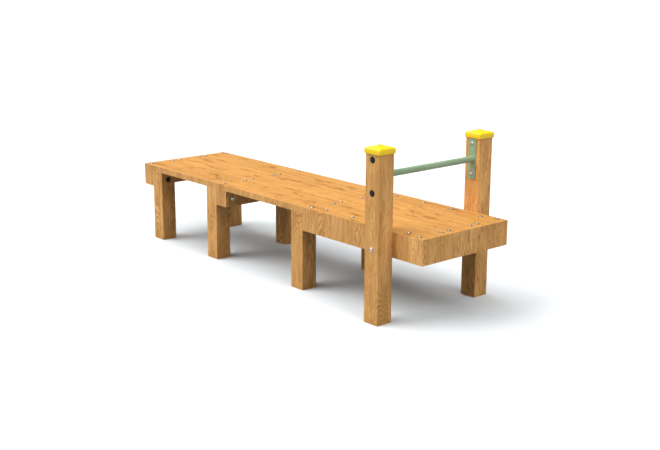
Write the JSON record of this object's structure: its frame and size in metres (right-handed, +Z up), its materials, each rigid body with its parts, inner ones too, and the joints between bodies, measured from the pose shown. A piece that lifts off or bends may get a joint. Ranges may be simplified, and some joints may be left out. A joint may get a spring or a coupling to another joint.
{
  "type": "sit-up bench",
  "caption": "Outdoor timber sit-up bench: a long plank deck on paired square legs, with a steel foot bar held between two tall capped posts.",
  "frame": {"origin": "on the ground, at the middle of the overall box's footprint", "axes": "+X from the head end to the foot end with the tall posts, +Y to the rear side, +Z up"},
  "size_m": [2.5669, 0.8576, 0.9285],
  "materials": {
    "timber": "warm amber stain, satin",
    "zinc_steel": "bright zinc",
    "green_paint": "powder coat, satin",
    "yellow_plastic": "moulded, glossy",
    "black_plastic": "moulded, satin"
  },
  "bodies": {
    "root": {"deck_board_front": "timber", "deck_board_middle": "timber", "deck_board_rear": "timber", "cross_beam_head": "timber", "cross_beam_mid": "timber", "cross_beam_seat": "timber", "cross_beam_foot": "timber", "side_beam_front": "timber", "side_beam_rear": "timber", "leg_head_front": "timber", "leg_head_rear": "timber", "leg_mid_front": "timber", "leg_mid_rear": "timber", "leg_seat_front": "timber", "leg_seat_rear": "timber", "post_front": "timber", "post_rear": "timber", "post_cap_front": "yellow_plastic", "post_cap_rear": "yellow_plastic", "cap_screws": "zinc_steel", "cap_plugs": "yellow_plastic", "foot_bar": "green_paint", "bar_welds": "green_paint", "bar_plate_front": "green_paint", "bar_plate_rear": "green_paint", "plate_bolts": "zinc_steel", "plate_bolt_washers": "zinc_steel", "plate_bolt_nuts": "zinc_steel", "plate_bolt_plugs": "black_plastic", "leg_bolts": "zinc_steel", "leg_bolt_washers": "zinc_steel", "leg_bolt_nuts": "zinc_steel", "leg_bolt_plugs": "black_plastic", "post_bolts": "zinc_steel", "post_bolt_washers": "zinc_steel", "post_bolt_nuts": "zinc_steel", "post_bolt_plugs": "black_plastic", "cross_beam_screws": "zinc_steel", "side_beam_screws": "zinc_steel", "corner_brackets": "zinc_steel", "bracket_screws": "zinc_steel"}
  },
  "joints": []
}
